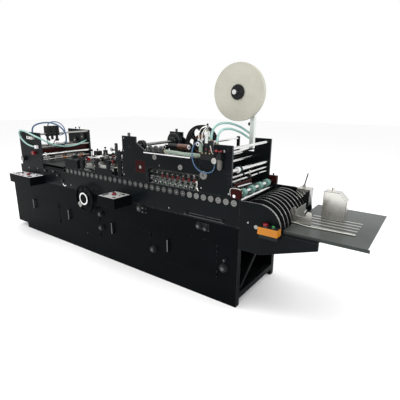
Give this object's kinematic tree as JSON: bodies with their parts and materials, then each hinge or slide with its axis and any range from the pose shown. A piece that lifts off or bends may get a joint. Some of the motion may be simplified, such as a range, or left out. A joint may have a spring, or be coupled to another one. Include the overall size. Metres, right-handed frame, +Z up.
{
  "type": "envelope taping machine",
  "caption": "Floor-standing line that feeds envelopes, folds and glues their flaps, presses on adhesive tape from a roll and lays them shingled on a delivery table.",
  "frame": {"origin": "on the floor, in the middle of the four floor anchor holes", "axes": "+X along the machine from the feeder to the delivery table, +Y from the operator's side to the back, +Z up"},
  "size_m": [4.295, 1.065, 1.92],
  "materials": {
    "cabinet_paint": "satin charcoal paint",
    "plate_paint": "satin slate paint",
    "cap_grey": "beige-grey enamel",
    "roller_steel": "turned steel, oiled",
    "belt_rubber": "matt flat belt",
    "chrome_rod": "hard chrome bar",
    "plate_steel": "brushed sheet",
    "bright_steel": "bright brushed steel",
    "spring_copper": "copper-coloured wire",
    "maroon_block": "dark maroon enamel",
    "ring_rubber": "greenish-grey rubber rings on steel",
    "disc_black": "black discs with bright edges",
    "table_grey": "satin grey-green paint",
    "post_aluminium": "pale drawn bar",
    "tape_roll": "wound tape edge",
    "black_parts": "black satin",
    "red_plastic": "glossy red",
    "green_plastic": "glossy green",
    "orange_paint": "orange enamel",
    "equipment_grey": "grey machine castings",
    "hose_green": "mint air hose",
    "tube_blue": "blue air tube"
  },
  "bodies": {
    "machine_frame": {"air_units": "black_parts", "back_side_plate": "plate_paint", "base_frame": "cabinet_paint", "bearing_blocks": "maroon_block", "bearing_caps": "cap_grey", "blue_tubes": "tube_blue", "button_box": "orange_paint", "cabinet_equipment": "equipment_grey", "cabinet_panels": "cabinet_paint", "consoles": "cabinet_paint", "deck_plate": "plate_paint", "delivery_side_plates": "plate_paint", "delivery_table": "table_grey", "door_hinges": "black_parts", "feed_table": "plate_steel", "feeder_springs": "spring_copper", "feeder_tower_plates": "plate_paint", "folding_ploughs": "plate_steel", "front_panel": "cabinet_paint", "front_side_plate": "plate_paint", "glue_trough": "plate_steel", "green_hoses": "hose_green", "middle_tower_plates": "plate_paint", "panel_fittings": "black_parts", "red_clamps": "red_plastic", "section_brackets": "plate_paint", "separator_box": "bright_steel", "stacker_plate": "bright_steel", "tape_post": "post_aluminium", "tape_tower_plates": "plate_paint", "tie_rods": "chrome_rod", "transport_belts": "belt_rubber", "transport_rollers": "roller_steel", "upper_beams": "plate_paint"},
    "door_1": {"door_1": "cabinet_paint"},
    "door_2": {"door_2": "cabinet_paint"},
    "door_3": {"door_3": "cabinet_paint"},
    "door_4": {"door_4": "cabinet_paint"},
    "delivery_discs": {"delivery_discs": "disc_black"},
    "exit_lower_roller": {"exit_lower_roller": "roller_steel"},
    "exit_upper_roller": {"exit_upper_roller": "ring_rubber"},
    "press_roller": {"press_roller": "roller_steel"},
    "crease_shaft": {"crease_shaft": "roller_steel"},
    "feed_shaft": {"feed_shaft": "roller_steel"},
    "handwheel": {"handwheel": "black_parts"},
    "tape_reel": {"tape_roll": "tape_roll", "roll_hub": "black_parts"},
    "rewind_reel": {"rewind_reel": "black_parts"},
    "sucker_bar": {"sucker_bar": "roller_steel"},
    "feeder_side_knob": {"feeder_side_knob": "black_parts"},
    "front_adjusting_screw": {"front_adjusting_screw": "bright_steel"},
    "back_adjusting_screw": {"back_adjusting_screw": "bright_steel"},
    "separator_lever": {"separator_lever": "bright_steel"},
    "back_stop": {"back_stop": "bright_steel"},
    "left_stop_button": {"left_stop_button": "red_plastic"},
    "left_push_button": {"left_push_button": "black_parts"},
    "middle_stop_button": {"middle_stop_button": "red_plastic"},
    "middle_push_button": {"middle_push_button": "black_parts"},
    "box_stop_button": {"box_stop_button": "red_plastic"},
    "box_start_button": {"box_start_button": "green_plastic"}
  },
  "joints": [
    {"name": "door_1_hinge", "type": "hinge", "parent": "machine_frame", "child": "door_1", "pos_m": [-0.7075, -0.3785, 0.334], "axis": [0, 0, 1], "range_deg": [0, 95]},
    {"name": "door_2_hinge", "type": "hinge", "parent": "machine_frame", "child": "door_2", "pos_m": [0.0265, -0.3785, 0.334], "axis": [0, 0, 1], "range_deg": [0, 95]},
    {"name": "door_3_hinge", "type": "hinge", "parent": "machine_frame", "child": "door_3", "pos_m": [0.7625, -0.3785, 0.334], "axis": [0, 0, 1], "range_deg": [0, 95]},
    {"name": "door_4_hinge", "type": "hinge", "parent": "machine_frame", "child": "door_4", "pos_m": [1.5075, -0.3785, 0.334], "axis": [0, 0, 1], "range_deg": [0, 95]},
    {"name": "delivery_discs_turn", "type": "hinge", "parent": "machine_frame", "child": "delivery_discs", "pos_m": [1.835, 0, 0.735], "axis": [0, 1, 0], "continuous": true},
    {"name": "exit_lower_roller_turn", "type": "hinge", "parent": "machine_frame", "child": "exit_lower_roller", "pos_m": [1.645, 0, 0.885], "axis": [0, 1, 0], "continuous": true},
    {"name": "exit_upper_roller_turn", "type": "hinge", "parent": "machine_frame", "child": "exit_upper_roller", "pos_m": [1.645, 0, 0.9415], "axis": [0, 1, 0], "continuous": true},
    {"name": "press_roller_turn", "type": "hinge", "parent": "machine_frame", "child": "press_roller", "pos_m": [0.6635, 0, 1.052], "axis": [0, 1, 0], "continuous": true},
    {"name": "crease_shaft_turn", "type": "hinge", "parent": "machine_frame", "child": "crease_shaft", "pos_m": [0.535, 0, 1.226], "axis": [0, 1, 0], "continuous": true},
    {"name": "feed_shaft_turn", "type": "hinge", "parent": "machine_frame", "child": "feed_shaft", "pos_m": [-1.04, 0, 0.962], "axis": [0, 1, 0], "continuous": true},
    {"name": "handwheel_turn", "type": "hinge", "parent": "machine_frame", "child": "handwheel", "pos_m": [-0.11, 0, 0.64], "axis": [0, 1, 0], "continuous": true},
    {"name": "tape_reel_turn", "type": "hinge", "parent": "machine_frame", "child": "tape_reel", "pos_m": [1.485, 0, 1.698], "axis": [0, 1, 0], "continuous": true},
    {"name": "rewind_reel_turn", "type": "hinge", "parent": "machine_frame", "child": "rewind_reel", "pos_m": [0.92, 0, 1.225], "axis": [0, 1, 0], "continuous": true},
    {"name": "sucker_bar_turn", "type": "hinge", "parent": "machine_frame", "child": "sucker_bar", "pos_m": [-1.18, 0, 1.095], "axis": [0, 1, 0], "range_deg": [-25, 25]},
    {"name": "feeder_side_knob_turn", "type": "hinge", "parent": "machine_frame", "child": "feeder_side_knob", "pos_m": [-1.341, 0, 0.94], "axis": [0, 1, 0], "continuous": true},
    {"name": "front_adjusting_screw_turn", "type": "hinge", "parent": "machine_frame", "child": "front_adjusting_screw", "pos_m": [0.527, -0.365, 1.33], "axis": [0, 0, 1], "continuous": true},
    {"name": "back_adjusting_screw_turn", "type": "hinge", "parent": "machine_frame", "child": "back_adjusting_screw", "pos_m": [0.527, 0.317, 1.33], "axis": [0, 0, 1], "continuous": true},
    {"name": "separator_lever_turn", "type": "hinge", "parent": "machine_frame", "child": "separator_lever", "pos_m": [1.9724, 0.226, 0.954], "axis": [0, 1, 0], "range_deg": [-30, 30]},
    {"name": "back_stop_slide", "type": "slide", "parent": "machine_frame", "child": "back_stop", "axis": [1, 0, 0], "range_m": [-0.065, 0.12]},
    {"name": "left_stop_button_press", "type": "slide", "parent": "machine_frame", "child": "left_stop_button", "axis": [0, 0, -1], "range_m": [0, 0.005], "stiffness_N_per_m": 400, "springref_m": -0.002},
    {"name": "left_push_button_press", "type": "slide", "parent": "machine_frame", "child": "left_push_button", "axis": [0, 0, -1], "range_m": [0, 0.005], "stiffness_N_per_m": 400, "springref_m": -0.002},
    {"name": "middle_stop_button_press", "type": "slide", "parent": "machine_frame", "child": "middle_stop_button", "axis": [0, 0, -1], "range_m": [0, 0.005], "stiffness_N_per_m": 400, "springref_m": -0.002},
    {"name": "middle_push_button_press", "type": "slide", "parent": "machine_frame", "child": "middle_push_button", "axis": [0, 0, -1], "range_m": [0, 0.005], "stiffness_N_per_m": 400, "springref_m": -0.002},
    {"name": "box_stop_button_press", "type": "slide", "parent": "machine_frame", "child": "box_stop_button", "axis": [0, 0, -1], "range_m": [0, 0.005], "stiffness_N_per_m": 400, "springref_m": -0.002},
    {"name": "box_start_button_press", "type": "slide", "parent": "machine_frame", "child": "box_start_button", "axis": [0, 0, -1], "range_m": [0, 0.005], "stiffness_N_per_m": 400, "springref_m": -0.002}
  ],
  "couplings": [
    {"joint": "exit_lower_roller_turn", "follows": "delivery_discs_turn", "ratio": 9},
    {"joint": "exit_upper_roller_turn", "follows": "delivery_discs_turn", "ratio": -6.75},
    {"joint": "press_roller_turn", "follows": "delivery_discs_turn", "ratio": -4.5},
    {"joint": "crease_shaft_turn", "follows": "delivery_discs_turn", "ratio": -2.25},
    {"joint": "feed_shaft_turn", "follows": "delivery_discs_turn", "ratio": 5},
    {"joint": "handwheel_turn", "follows": "delivery_discs_turn", "ratio": 1.5}
  ]
}
